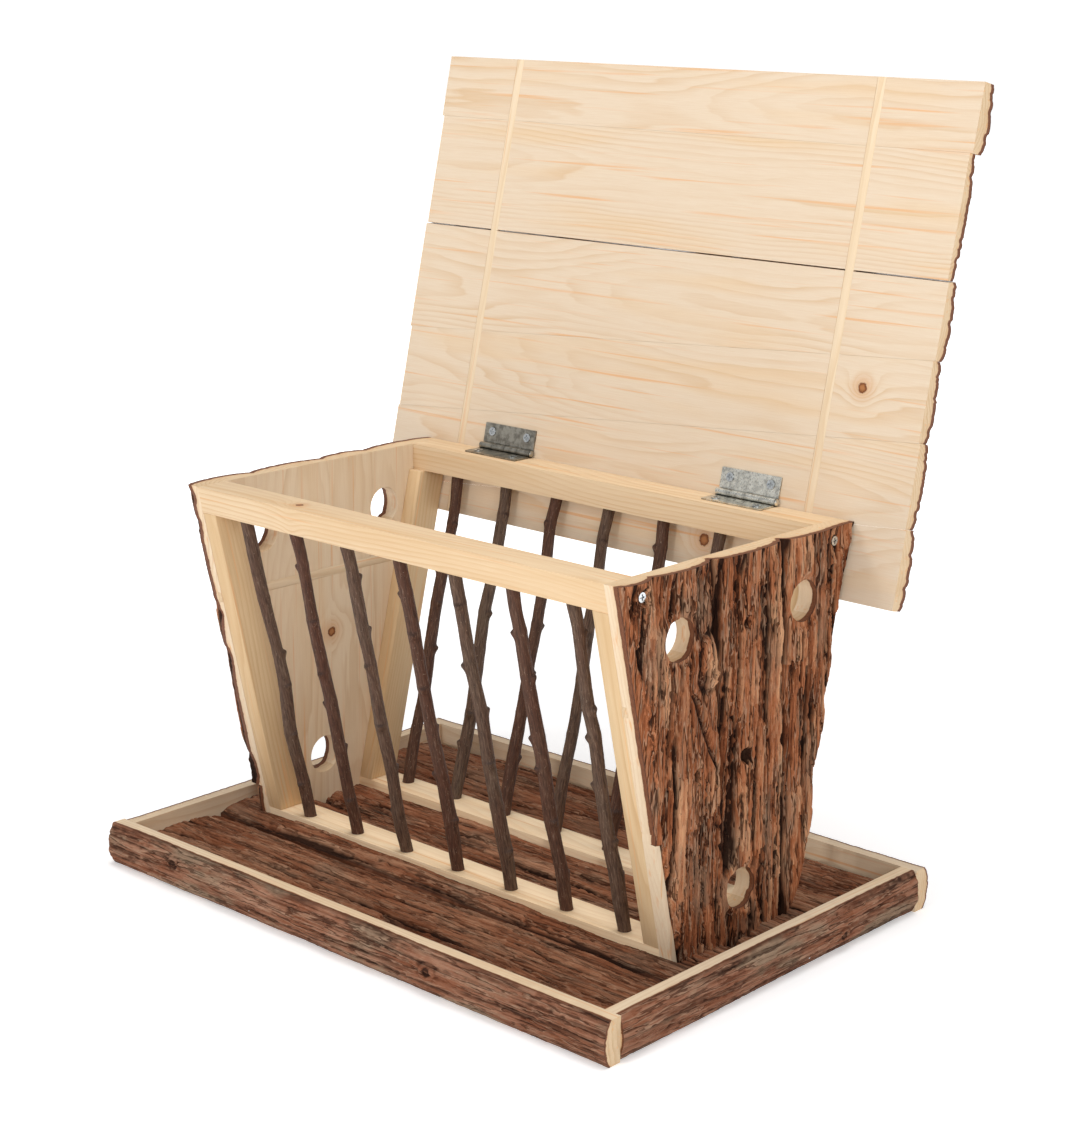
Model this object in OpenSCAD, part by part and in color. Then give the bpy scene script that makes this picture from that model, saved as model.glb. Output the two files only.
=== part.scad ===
// Hay rack on a bark-covered tray, with a slab lid that is hinged along the
// rack's back edge and leans open. X runs along the tray, Y to the back, Z up.
// The origin is the middle of the tray's underside.

/* [Tray] */
// Length of the tray along its long rails
tray_l = 420; // [400:5:460]
// Depth of the tray over the long rails' top outer edges
tray_w = 296; // [290:2:320]
// Height of the tray rails
rail_h = 27; // [26:1:34]
// Thickness of a rail at its sawn top face
rail_t = 9.3; // [8:0.1:11]
// How far a rail's bark face bulges past its top edge
rail_bulge = 4; // [3:0.5:5]
// Distance from the long rails' ends to a side rail's inner face
side_inset = 11.2; // [10.8:0.2:14]
// Thickness of a floor slab along its seams
floor_edge = 13; // [12:0.5:15]
// Thickness of a floor slab along its crown
floor_crown = 19; // [17:0.5:21]

/* [Rack] */
// Clear length between the end panels
rack_l = 331.8; // [320:0.2:340]
// Depth of the rack across its top
rack_top_w = 209.3; // [200:0.1:220]
// Depth of the rack at the top of its bottom rails
rack_low_w = 104.1; // [98:0.1:110]
// Height of the rack's top above the ground
rack_z = 247.3; // [240:0.1:270]
// Height of the bottom rails' top above the ground
low_rail_z = 24; // [23:0.5:26]
// Height of the planed seat on which the rack stands
seat_z = 10; // [9:0.5:11]
// Distance of the rack from the tray's middle, towards the back
rack_shift = -2.4; // [-4:0.2:4]
// Height of the top rails
top_rail_h = 17; // [16:0.5:20]
// Depth of the rails and posts
rail_d = 23; // [22:0.5:25]
// Width of the posts along the rack
post_w = 11.5; // [11:0.5:14]

/* [End panels] */
// Thickness of a panel slab along its seams
panel_edge = 9; // [8.5:0.5:10]
// Thickness of a panel slab along its crown
panel_crown = 14.5; // [13.5:0.5:16]
// Diameter of the holes drilled through the panels
hole_d = 25; // [20:1:28]
// Height of the two upper holes
hole_high_z = 209; // [200:1:212]
// Height of the lower hole
hole_low_z = 48; // [44:1:60]
// Height of the middle of the inlaid key
key_z = 173; // [165:1:180]

/* [Twigs] */
// Number of twigs on each side
twig_count = 7; // [7:1:7]
// Distance between neighbouring twigs
twig_pitch = 44.7; // [42:0.1:46]
// Diameter of a twig at its ends
twig_d = 8; // [6.6:0.2:9]
// Depth of the blind socket that holds a twig's end
socket_depth = 8; // [6:0.5:8]

/* [Lid] */
// Length of the lid
lid_l = 420.8; // [410:0.2:430]
// Distance of the lid's middle from the rack's middle, along X
lid_shift = 2.8; // [0:0.2:4]
// Reach of the lid in front of the rack's back edge, when closed
lid_front = 258.5; // [250:0.5:270]
// Reach of the lid behind the rack's back edge, when closed
lid_rear = 46.7; // [44:0.1:50]
// Width of the inlaid keys
key_w = 6; // [5:0.5:7]
// Depth of the inlaid keys
key_d = 3; // [2:0.5:3.5]

/* [Hinges] */
// Length of a hinge along its pin
hinge_l = 45; // [40:1:48]
// Distance of each hinge from the rack's middle
hinge_x = 100; // [98:0.5:104]
// Width of a hinge leaf from the pin's axis
leaf_w = 15.5; // [14:0.5:16]
// Thickness of a hinge leaf
leaf_t = 1; // [0.8:0.1:1]
// Diameter of a hinge pin
pin_d = 2.5; // [2.2:0.1:2.5]

/* [Hidden] */

// Colours
pine = "burlywood";
honey_pine = "tan";
bark = "sienna";
twig_bark = "dimgray";
steel = "silver";
dark_steel = "slategray";

// Smoothness of long arcs, of round holes and of small round parts
arc_fn = 360;
round_fn = 48;
// Length by which a cutting tool reaches past what it cuts
over = 1;
// Running clearance of the lid's knuckles, and the fit of all other round parts
run_gap = 0.05;
tight_gap = 0.01;

// Tray, inside its rails
tray_in_l = tray_l - 2 * side_inset;
tray_in_w = tray_w - 2 * rail_t;
// Seams between the floor slabs, front to back
floor_seams = [-0.5 * tray_in_w, -68.5, -8.5, 66.5, 0.5 * tray_in_w];

// Slope of the rack's front and back, as depth per height, and as an angle
low_half = rack_low_w / 2;
top_half = rack_top_w / 2;
slope = (top_half - low_half) / (rack_z - low_rail_z);
slope_angle = atan(slope);
top_rail_z = rack_z - top_rail_h;
panel_x = rack_l / 2;
// Clearance between the rack and the walls of its seat
seat_gap = 0.3;

// Seams between the panel slabs at the slabs' lower and upper ends, as shares of the
// rack's half depth; the outer two lie outside the panel, so that its corners are cut
// from full-width slabs
panel_reach = rack_z / 2 + 2;
right_seams = [[-1.23, -1.23], [-0.61, -0.73], [0, -0.24], [0.47, 0.36], [1.15, 1.15]];
left_seams = [[-1.1, -1.1], [-0.52, -0.52], [0.05, 0.05], [0.42, 0.42], [1.12, 1.12]];
// Hole positions as shares of the rack's half depth: front, back and low
right_holes = [-0.53, 0.54, 0.05];
left_holes = [-0.50, 0.52, -0.02];

// Depth of a twig's middle behind the rack's sloping face
twig_inset = 7.7;
twig_steps = 10;
twig_end = 8;
twig_len = (top_rail_z - low_rail_z) / cos(slope_angle);

// Panel screws: head face, head and shank, and distance in from the slope
screw_head_r = 2.85;
screw_shank_r = 1.5;
panel_screw_face = 11.6;
panel_screw_len = 20;
panel_screw_inset = 16;
panel_screw_z = rack_z - top_rail_h / 2;
// Base screws, which hold the bottom rails down from below
base_screw_len = 18;
base_recess = 0.6;
base_screw_x = [for (k = [-2.5, -0.5, 0.5, 2.5]) k * twig_pitch];
base_screw_y = rack_low_w / 2 - slope * (low_rail_z - seat_z) - rail_d / 2;
// Nails of the tray
nail_r = 0.7;
nail_len = 22;
nail_z = 5.5;
nail_high_z = 17;
front_nail_x = [for (share = [-0.71, -0.36, -0.05, 0.26, 0.76]) share * tray_l / 2];
side_nail_y = [for (share = [-0.74, -0.2, 0.2, 0.74]) share * tray_w / 2];
corner_nail_x = tray_l / 2 - side_inset + rail_t / 2;

// Hinges: knuckle radius, the pin's distance from the wood, and knuckle count
barrel_r = 2.4;
pin_off = 2.5;
knuckles = 4;
knuckle_gap = 0.2;
leaf_screw_x = hinge_l / 2 - 7;
leaf_screw_r = 1.2;
leaf_screw_len = 7;
leaf_screw_in = 10;
leaf_head_h = 0.6;

// The open lid leans a little less than the rack's back, which is its stop
lid_lean = slope_angle - 0.35;
stop_gap = 0.3;
lid_y = rack_shift + top_half + stop_gap;
// The pin, from the lid's foot point in the lid's frame and from the origin
pin_v = pin_off * (1 - sin(lid_lean)) / cos(lid_lean) * sin(-lid_lean) + pin_off * cos(lid_lean);
pin_y = lid_y - pin_off * (1 - sin(lid_lean)) / cos(lid_lean);
pin_z = rack_z + pin_off;
// Seams between the lid's slabs, top to bottom, at this distance left and right of
// its middle; neighbouring slabs share one line there, and are cut off short of it
lid_reach = lid_l / 2 + 2;
lid_seams = [
    [lid_front, lid_front], [218, 218], [145, 145], [72.8, 99],
    [18.2, 51.2], [-32, 1.1], [-lid_rear, -lid_rear]
];
// Open gap below the second slab
lid_gap = 0.9;
// Edge and crown thickness of each lid slab, and how far its ends are staggered
lid_edges = [10.5, 6, 7.5, 8, 8, 9];
lid_crowns = [12.6, 8.5, 10.5, 11, 11.5, 12];
lid_stagger = [1.2, -0.6, 0.4, -0.8, 0.2, 0.8];
lid_key_x = [-144, 144.5];

// ---------- Shared shapes ----------

// Slab along X with its sawn face on Z = 0 and its bark face arched above it
module bark_slab(l, w, edge, crown) {
    sag = crown - edge;
    r = (w * w / 4 + sag * sag) / (2 * sag);
    intersection() {
        translate([-l / 2, -w / 2, 0])
            cube([l, w, crown + over]);
        translate([-l / 2 - over, 0, crown - r])
            rotate([0, 90, 0])
                cylinder(r = r, h = l + 2 * over, $fn = arc_fn);
    }
}

// Slab along X, sawn on Y = 0 and arched towards +Y, between two lines that are
// given by their heights at the slab's two ends
module tapered_slab(reach, low, top, edge, crown) {
    mid = (top + low) / 2;
    width = (top[0] + top[1] - low[0] - low[1]) / 2;
    sag = crown - edge;
    r = (width * width / 4 + sag * sag) / (2 * sag);
    tilt = atan((mid[1] - mid[0]) / (2 * reach));
    intersection() {
        rotate([90, 0, 0])
            translate([0, 0, -crown - over])
                linear_extrude(height = crown + over)
                    polygon([[-reach, low[0]], [reach, low[1]], [reach, top[1]], [-reach, top[0]]]);
        translate([0, crown - r, (mid[0] + mid[1]) / 2])
            rotate([0, 90 - tilt, 0])
                cylinder(r = r, h = 2.2 * reach, center = true, $fn = arc_fn);
    }
}

// Cylinder along Z from z0 to z1
module rod(r, z0, z1) {
    translate([0, 0, z0])
        cylinder(r = r, h = z1 - z0, $fn = round_fn);
}

// Bar along X, drawn as a (Y, Z) outline
module bar_x(l, outline) {
    rotate([90, 0, 90])
        linear_extrude(height = l, center = true)
            polygon(outline);
}

// Places a front piece on the front (side -1) or, mirrored, on the back (side 1)
module on_side(side) {
    translate([0, rack_shift, 0])
        mirror([0, side > 0 ? 1 : 0, 0])
            children();
}

// Depth of the rack's front face at a height, in the rack's own frame
function face_y(z) = -(low_half + slope * (z - low_rail_z));

// Screw with a cross-slot head on top of Z = 0 and its shank below
module cross_screw(head_r, head_h, shank_r, len) {
    slot_w = 0.9;
    slot_l = head_r * 1.2;
    union() {
        difference() {
            rod(head_r, 0, head_h);
            for (turn = [0, 90])
                rotate([0, 0, turn])
                    translate([-slot_l / 2, -slot_w / 2, head_h / 2])
                        cube([slot_l, slot_w, head_h]);
        }
        rod(shank_r, -len, 0);
    }
}

// ---------- Tray ----------

module long_rail(side) {
    difference() {
        translate([0, side * (tray_w / 2 - rail_t), rail_h / 2])
            rotate([-side * 90, 0, 0])
                bark_slab(tray_l, rail_h, rail_t, rail_t + rail_bulge);
        long_rail_nails(side, tight_gap, over);
    }
}

module short_rail(side) {
    difference() {
        translate([side * tray_in_l / 2, 0, rail_h / 2])
            rotate([90, 0, side * 90])
                bark_slab(tray_in_w, rail_h, rail_t, rail_t + rail_bulge);
        for (end = [-1, 1])
            long_rail_nails(end, tight_gap, 0);
        short_rail_nails(side, tight_gap, over);
    }
}

// Nails through a long rail: into the floor, and into the side rails' ends
module long_rail_nails(side, gap, extra) {
    outer = tray_w / 2 + rail_bulge / 2;
    places = concat(
        [for (x = front_nail_x) [x, nail_z]],
        [for (x = [-corner_nail_x, corner_nail_x], z = [nail_z, nail_high_z]) [x, z]]
    );
    for (p = places)
        translate([p[0], side * outer, p[1]])
            rotate([side * 90, 0, 0])
                rod(nail_r + gap, -extra * 2, nail_len);
}

// Nails through a side rail into the floor
module short_rail_nails(side, gap, extra) {
    outer = tray_in_l / 2 + rail_t + rail_bulge / 2;
    for (y = side_nail_y)
        translate([side * outer, y, nail_z])
            rotate([0, -side * 90, 0])
                rod(nail_r + gap, -extra * 2, nail_len);
}

module tray_front_rail() color(bark) long_rail(-1);
module tray_back_rail() color(bark) long_rail(1);
module tray_left_rail() color(bark) short_rail(-1);
module tray_right_rail() color(bark) short_rail(1);

module tray_nails() {
    color(steel)
        for (side = [-1, 1]) {
            long_rail_nails(side, 0, 0);
            short_rail_nails(side, 0, 0);
        }
}

// Planed seats under the rack's bottom rails and end panels
module rack_seat() {
    wall = low_half + seat_gap;
    depth = rail_d + 2 * seat_gap;
    for (side = [-1, 1]) {
        on_side(side)
            translate([-panel_x - seat_gap, -wall, seat_z])
                cube([rack_l + 2 * seat_gap, depth, rail_h]);
        translate([side > 0 ? panel_x - seat_gap : -panel_x - panel_crown - seat_gap,
                   rack_shift - wall, seat_z])
            cube([panel_crown + 2 * seat_gap, 2 * wall, rail_h]);
    }
}

module floor_slab(i) {
    y0 = floor_seams[i];
    y1 = floor_seams[i + 1];
    color(bark)
        difference() {
            translate([0, (y0 + y1) / 2, 0])
                bark_slab(tray_in_l, y1 - y0, floor_edge, floor_crown);
            rack_seat();
            for (side = [-1, 1]) {
                long_rail_nails(side, tight_gap, 0);
                short_rail_nails(side, tight_gap, 0);
            }
            base_screw_holes();
        }
}

module tray_floor_slab_1() floor_slab(0);
module tray_floor_slab_2() floor_slab(1);
module tray_floor_slab_3() floor_slab(2);
module tray_floor_slab_4() floor_slab(3);

// ---------- Rack frame ----------

module at_base_screws() {
    for (side = [-1, 1], x = base_screw_x)
        translate([x, rack_shift + side * base_screw_y, 0])
            children();
}

module base_screw_holes() {
    at_base_screws() {
        rod(screw_head_r + tight_gap, -over, base_recess + 1.2);
        rod(screw_shank_r + tight_gap, 0, base_screw_len + over);
    }
}

module base_screws() {
    color(steel)
        at_base_screws()
            translate([0, 0, base_recess + 1.2])
                rotate([180, 0, 0])
                    cross_screw(screw_head_r, 1.2, screw_shank_r, base_screw_len - 2);
}

module top_rail(side) {
    color(honey_pine)
        difference() {
            on_side(side)
                bar_x(rack_l, [
                    [face_y(rack_z), rack_z],
                    [face_y(rack_z) + rail_d, rack_z],
                    [face_y(rack_z) + rail_d, top_rail_z],
                    [face_y(top_rail_z), top_rail_z]
                ]);
            twig_sockets(side);
            panel_screw_holes();
            if (side > 0)
                hinge_rail_screw_holes();
        }
}

module bottom_rail(side) {
    color(honey_pine)
        difference() {
            on_side(side)
                bar_x(rack_l, [
                    [face_y(low_rail_z), low_rail_z],
                    [face_y(low_rail_z) + rail_d, low_rail_z],
                    [face_y(low_rail_z) + rail_d, seat_z],
                    [face_y(seat_z), seat_z]
                ]);
            twig_sockets(side);
            base_screw_holes();
        }
}

module post(side, end) {
    color(pine)
        on_side(side)
            translate([end * (panel_x - post_w / 2), 0, 0])
                bar_x(post_w, [
                    [face_y(low_rail_z), low_rail_z],
                    [face_y(low_rail_z) + rail_d, low_rail_z],
                    [face_y(top_rail_z) + rail_d, top_rail_z],
                    [face_y(top_rail_z), top_rail_z]
                ]);
}

module front_top_rail() top_rail(-1);
module back_top_rail() top_rail(1);
module front_bottom_rail() bottom_rail(-1);
module back_bottom_rail() bottom_rail(1);
module front_left_post() post(-1, -1);
module front_right_post() post(-1, 1);
module back_left_post() post(1, -1);
module back_right_post() post(1, 1);

// ---------- End panels ----------

module at_panel_screws() {
    for (end = [-1, 1], side = [-1, 1])
        translate([end * (panel_x + panel_screw_face), 0, 0])
            on_side(side)
                translate([0, face_y(panel_screw_z) + panel_screw_inset, panel_screw_z])
                    rotate([0, end * 90, 0])
                        children();
}

module panel_screw_holes() {
    at_panel_screws() {
        rod(screw_shank_r + tight_gap, -panel_screw_len - over, 0);
        rod(screw_head_r + tight_gap, -1.2, panel_crown);
    }
}

module panel_screws() {
    color(steel)
        at_panel_screws()
            translate([0, 0, -1.2])
                cross_screw(screw_head_r, 1.2, screw_shank_r, panel_screw_len - 1.2);
}

module panel_outline_prism() {
    translate([0, rack_shift, 0])
        bar_x(rack_l + 4 * panel_crown, [
            [face_y(rack_z), rack_z],
            [face_y(seat_z), seat_z],
            [-face_y(seat_z), seat_z],
            [-face_y(rack_z), rack_z]
        ]);
}

// Key inlaid flush in the panel's inner face, across all its slabs
module panel_key_shape(end) {
    intersection() {
        translate([end > 0 ? panel_x : -panel_x - key_d, rack_shift - top_half, key_z - key_w / 2])
            cube([key_d, rack_top_w, key_w]);
        panel_outline_prism();
    }
}

module panel_slab(end, i) {
    seams = end > 0 ? right_seams : left_seams;
    holes = end > 0 ? right_holes : left_holes;
    crown = i == 0 ? panel_crown - 2 : panel_crown;
    color(bark)
        difference() {
            intersection() {
                mirror([end < 0 ? 1 : 0, 0, 0])
                    translate([panel_x, rack_shift, rack_z / 2])
                        rotate([0, -90, -90])
                            tapered_slab(panel_reach, seams[i] * top_half,
                                         seams[i + 1] * top_half, panel_edge, crown);
                panel_outline_prism();
            }
            for (k = [0:2])
                translate([0, rack_shift + holes[k] * top_half, k < 2 ? hole_high_z : hole_low_z])
                    rotate([0, end * 90, 0])
                        rod(hole_d / 2, panel_x - over, panel_x + panel_crown + over);
            panel_key_shape(end);
            panel_screw_holes();
        }
}

module left_panel_slab_1() panel_slab(-1, 0);
module left_panel_slab_2() panel_slab(-1, 1);
module left_panel_slab_3() panel_slab(-1, 2);
module left_panel_slab_4() panel_slab(-1, 3);
module right_panel_slab_1() panel_slab(1, 0);
module right_panel_slab_2() panel_slab(1, 1);
module right_panel_slab_3() panel_slab(1, 2);
module right_panel_slab_4() panel_slab(1, 3);
module left_panel_key() color(pine) panel_key_shape(-1);
module right_panel_key() color(pine) panel_key_shape(1);

// ---------- Twigs ----------

// Frame of twig i: Z along the twig, from the bottom rail's top upwards
module at_twig(side, i) {
    on_side(side)
        translate([(i - (twig_count - 1) / 2) * twig_pitch, face_y(low_rail_z) + twig_inset, low_rail_z])
            rotate([slope_angle, 0, 0])
                children();
}

module twig_sockets(side) {
    for (i = [0:twig_count - 1])
        at_twig(side, i) {
            rod(twig_d / 2 + tight_gap, -socket_depth, over * 4);
            rod(twig_d / 2 + tight_gap, twig_len - over * 4, twig_len + socket_depth);
        }
}

// Radius of twig i at share t of its free length: a slow swell with smaller nodes
function twig_r(t, i) = twig_d / 2 + 0.45 * sin(830 * t + 77 * i) + 0.25 * sin(1840 * t + 131 * i);

module twig(side, i) {
    free = twig_len - 2 * twig_end;
    steps = [for (k = [1:twig_steps - 1]) k / twig_steps];
    color(twig_bark)
        at_twig(side, i)
            rotate_extrude($fn = round_fn)
                polygon(concat(
                    [[0, -socket_depth], [twig_d / 2, -socket_depth], [twig_d / 2, twig_end]],
                    [for (t = steps) [twig_r(t, i + 3 * side), twig_end + t * free]],
                    [[twig_d / 2, twig_len - twig_end], [twig_d / 2, twig_len + socket_depth]],
                    [[0, twig_len + socket_depth]]
                ));
}

module front_twig_1() twig(-1, 0);
module front_twig_2() twig(-1, 1);
module front_twig_3() twig(-1, 2);
module front_twig_4() twig(-1, 3);
module front_twig_5() twig(-1, 4);
module front_twig_6() twig(-1, 5);
module front_twig_7() twig(-1, 6);
module back_twig_1() twig(1, 0);
module back_twig_2() twig(1, 1);
module back_twig_3() twig(1, 2);
module back_twig_4() twig(1, 3);
module back_twig_5() twig(1, 4);
module back_twig_6() twig(1, 5);
module back_twig_7() twig(1, 6);

// ---------- Lid ----------

// Frame of the lid: X along it, Z up its sawn face from the rack's back edge,
// and Y through its thickness towards the bark
module lid_frame() {
    translate([0, lid_y, rack_z])
        rotate([-lid_lean, 0, 0])
            children();
}

// Key across the lid's slabs, flush with the sawn face
module lid_key_shape(k) {
    translate([lid_key_x[k] - key_w / 2, 0, -lid_rear])
        cube([key_w, key_d, lid_front + lid_rear]);
}

module lid_slab(i) {
    top = lid_seams[i];
    low = lid_seams[i + 1];
    gap = i == 2 ? lid_gap : 0;
    half = lid_l / 2 + lid_stagger[i];
    color(pine)
        lid_frame()
            difference() {
                intersection() {
                    translate([lid_shift, 0, 0])
                        tapered_slab(lid_reach, low, top - [gap, gap], lid_edges[i], lid_crowns[i]);
                    translate([lid_shift - half, -over, -lid_rear - over])
                        cube([2 * half, lid_crowns[i] + 2 * over, lid_front + lid_rear + 2 * over]);
                }
                lid_key_shape(0);
                lid_key_shape(1);
                if (i == 4)
                    at_leaf_screws(pin_v)
                        rod(leaf_screw_r + tight_gap, -leaf_screw_len, leaf_t);
            }
}

module lid_slab_1() lid_slab(0);
module lid_slab_2() lid_slab(1);
module lid_slab_3() lid_slab(2);
module lid_slab_4() lid_slab(3);
module lid_slab_5() lid_slab(4);
module lid_slab_6() lid_slab(5);
module lid_key_left() color(pine) lid_frame() lid_key_shape(0);
module lid_key_right() color(pine) lid_frame() lid_key_shape(1);

// ---------- Hinges ----------

// Screw places of both hinges on a sawn face in the XZ plane that looks to -Y,
// with the pin's axis at height v; Z points out of the wood
module at_leaf_screws(v) {
    for (end = [-1, 1], side = [-1, 1])
        translate([end * hinge_x + side * leaf_screw_x, 0, v + leaf_screw_in])
            rotate([90, 0, 0])
                children();
}

// Leaf on a sawn face in the XZ plane, reaching up from the pin's axis at
// height v; phase 0 or 1 picks which knuckles it carries, gap is its bore fit
module leaf(v, phase, gap) {
    knuckle_l = hinge_l / knuckles;
    difference() {
        union() {
            translate([-hinge_l / 2, -leaf_t, v + barrel_r + knuckle_gap])
                cube([hinge_l, leaf_t, leaf_w - barrel_r - knuckle_gap]);
            for (k = [phase:2:knuckles - 1])
                translate([-hinge_l / 2 + k * knuckle_l + knuckle_gap / 2, 0, v]) {
                    translate([0, -leaf_t, 0])
                        cube([knuckle_l - knuckle_gap, leaf_t, leaf_w / 2]);
                    translate([0, -pin_off, 0])
                        rotate([0, 90, 0])
                            rod(barrel_r, 0, knuckle_l - knuckle_gap);
                }
        }
        translate([0, -pin_off, v])
            rotate([0, 90, 0])
                rod(pin_d / 2 + gap, -hinge_l, hinge_l);
        for (side = [-1, 1])
            translate([side * leaf_screw_x, 0, v + leaf_screw_in])
                rotate([90, 0, 0])
                    rod(leaf_screw_r + run_gap, -over, leaf_t + over);
    }
}

// Frame of the rail's top: the leaf's height runs from the pin to the front
module rail_leaf_frame() {
    translate([0, pin_y, rack_z])
        rotate([90, 0, 0])
            mirror([0, 1, 0])
                children();
}

module fixed_leaf(end) {
    color(end > 0 ? steel : dark_steel)
        rail_leaf_frame()
            translate([end * hinge_x, 0, 0])
                leaf(0, 0, tight_gap);
}

module lid_leaf(end) {
    color(end > 0 ? steel : dark_steel)
        lid_frame()
            translate([end * hinge_x, 0, 0])
                leaf(pin_v, 1, run_gap);
}

module hinge_pin(end) {
    head_r = 2.2;
    head_h = 1.3;
    color(end > 0 ? steel : dark_steel)
        translate([end * hinge_x, pin_y, pin_z])
            rotate([0, 90, 0]) {
                rod(pin_d / 2, -hinge_l / 2, hinge_l / 2 + knuckle_gap);
                translate([0, 0, hinge_l / 2 + knuckle_gap])
                    intersection() {
                        rod(head_r, 0, head_h);
                        translate([0, 0, head_h - head_r * 1.4])
                            sphere(r = head_r * 1.4, $fn = round_fn);
                    }
            }
}

module hinge_rail_screw_holes() {
    rail_leaf_frame()
        at_leaf_screws(0)
            rod(leaf_screw_r + tight_gap, -leaf_screw_len, leaf_t);
}

module leaf_screw() {
    translate([0, 0, leaf_t])
        cross_screw(screw_head_r, leaf_head_h, leaf_screw_r, leaf_screw_len + leaf_t);
}

module hinge_left_fixed_leaf() fixed_leaf(-1);
module hinge_right_fixed_leaf() fixed_leaf(1);
module hinge_left_lid_leaf() lid_leaf(-1);
module hinge_right_lid_leaf() lid_leaf(1);
module hinge_left_pin() hinge_pin(-1);
module hinge_right_pin() hinge_pin(1);
module hinge_rail_screws() color(steel) rail_leaf_frame() at_leaf_screws(0) leaf_screw();
module hinge_lid_screws() color(steel) lid_frame() at_leaf_screws(pin_v) leaf_screw();

tray_front_rail();
tray_back_rail();
tray_left_rail();
tray_right_rail();
tray_floor_slab_1();
tray_floor_slab_2();
tray_floor_slab_3();
tray_floor_slab_4();
left_panel_slab_1();
left_panel_slab_2();
left_panel_slab_3();
left_panel_slab_4();
left_panel_key();
right_panel_slab_1();
right_panel_slab_2();
right_panel_slab_3();
right_panel_slab_4();
right_panel_key();
front_top_rail();
back_top_rail();
front_bottom_rail();
back_bottom_rail();
front_left_post();
front_right_post();
back_left_post();
back_right_post();
front_twig_1();
front_twig_2();
front_twig_3();
front_twig_4();
front_twig_5();
front_twig_6();
front_twig_7();
back_twig_1();
back_twig_2();
back_twig_3();
back_twig_4();
back_twig_5();
back_twig_6();
back_twig_7();
hinge_left_fixed_leaf();
hinge_right_fixed_leaf();
hinge_left_pin();
hinge_right_pin();
hinge_rail_screws();
panel_screws();
base_screws();
tray_nails();
lid_slab_1();
lid_slab_2();
lid_slab_3();
lid_slab_4();
lid_slab_5();
lid_slab_6();
lid_key_left();
lid_key_right();
hinge_left_lid_leaf();
hinge_right_lid_leaf();
hinge_lid_screws();
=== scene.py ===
"""Bark and pine hay rack on a tray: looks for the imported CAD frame.

Every board, key and twig is built on its own CAD node's outline, and hinges, screws and
nails keep their CAD shape. Lengths are in millimetres in a board's own frame (u along the
grain, v across it, w from the sawn face towards the bark) and become metres in a mesh.
"""

import math
from dataclasses import dataclass
from itertools import product

import bmesh
import bpy
import numpy as np
from mathutils import Matrix, Vector


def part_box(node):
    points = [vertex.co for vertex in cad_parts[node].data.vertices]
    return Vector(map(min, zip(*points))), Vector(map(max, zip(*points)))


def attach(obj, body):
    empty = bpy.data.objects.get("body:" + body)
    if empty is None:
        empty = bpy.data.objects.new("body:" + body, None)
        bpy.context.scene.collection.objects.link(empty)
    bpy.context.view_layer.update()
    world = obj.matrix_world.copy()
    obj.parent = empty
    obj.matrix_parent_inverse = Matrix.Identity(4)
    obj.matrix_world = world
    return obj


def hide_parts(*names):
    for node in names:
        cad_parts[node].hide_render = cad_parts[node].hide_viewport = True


MM = 0.001
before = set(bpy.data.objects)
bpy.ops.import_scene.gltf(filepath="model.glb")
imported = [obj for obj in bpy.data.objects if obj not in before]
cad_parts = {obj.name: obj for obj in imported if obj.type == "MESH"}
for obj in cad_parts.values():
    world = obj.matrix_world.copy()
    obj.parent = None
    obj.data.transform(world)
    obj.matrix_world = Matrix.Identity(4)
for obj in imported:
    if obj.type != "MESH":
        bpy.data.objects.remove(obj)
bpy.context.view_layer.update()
FINE = 1.0

X = np.array([1.0, 0.0, 0.0])
Y = np.array([0.0, 1.0, 0.0])
Z = np.array([0.0, 0.0, 1.0])


# ---------- Sizes read from the CAD ----------


def low_corner(node):
    return np.array(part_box(node)[0]) / MM


def high_corner(node):
    return np.array(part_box(node)[1]) / MM


def mesh_points(mesh):
    """A mesh's vertices in mm."""
    co = np.empty(len(mesh.vertices) * 3)
    mesh.vertices.foreach_get("co", co)
    return co.reshape(-1, 3) / MM


def cad_points(node):
    return mesh_points(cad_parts[node].data)


RACK_Z = high_corner("front_top_rail")[2]
PANEL_X = high_corner("front_top_rail")[0]
LOW_RAIL_Z = high_corner("front_bottom_rail")[2]
SLOPE = math.atan2(
    low_corner("front_bottom_rail")[1] - low_corner("front_top_rail")[1],
    RACK_Z - LOW_RAIL_Z,
)
LID_GAP = 0.3
LID_LEAN = SLOPE - math.radians(0.35)
LID_FOOT = np.array([0, high_corner("back_top_rail")[1] + LID_GAP, RACK_Z])
LID_UP = np.array([0, math.sin(LID_LEAN), math.cos(LID_LEAN)])


# ---------- Noise ----------


def ease(t):
    return t * t * (3 - 2 * t)


def smooth(x, low, high):
    """0 below low, 1 above high, eased between."""
    return ease(np.clip((x - low) / (high - low), 0, 1))


def bump_at(x, width):
    """1 where x is 0, fading over width."""
    return np.exp(-((x / width) ** 2))


def toward(value, target, share):
    """The value, moved a share (0 to 1) of the way to the target."""
    return value + share * (target - value)


def lattice(ix, iy, seed):
    """Repeatable random number from 0 to 1 for each lattice point."""
    h = ix.astype(np.int64) * 374761393 + iy.astype(np.int64) * 668265263 + seed * 97463477
    h = ((h ^ (h >> 13)) * 1274126177) & 0x7FFFFFFF
    h = ((h ^ (h >> 15)) * 60493) & 0x7FFFFFFF
    return (h & 0xFFFFF) / 0xFFFFF


def noise(x, y, seed):
    """Smooth noise from -1 to 1 with about one lump per unit."""
    x, y = np.broadcast_arrays(np.asarray(x, float), np.asarray(y, float))
    ix, iy = np.floor(x), np.floor(y)
    fx, fy = ease(x - ix), ease(y - iy)
    low = lattice(ix, iy, seed) * (1 - fx) + lattice(ix + 1, iy, seed) * fx
    high = lattice(ix, iy + 1, seed) * (1 - fx) + lattice(ix + 1, iy + 1, seed) * fx
    return 2 * (low * (1 - fy) + high * fy) - 1


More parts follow.
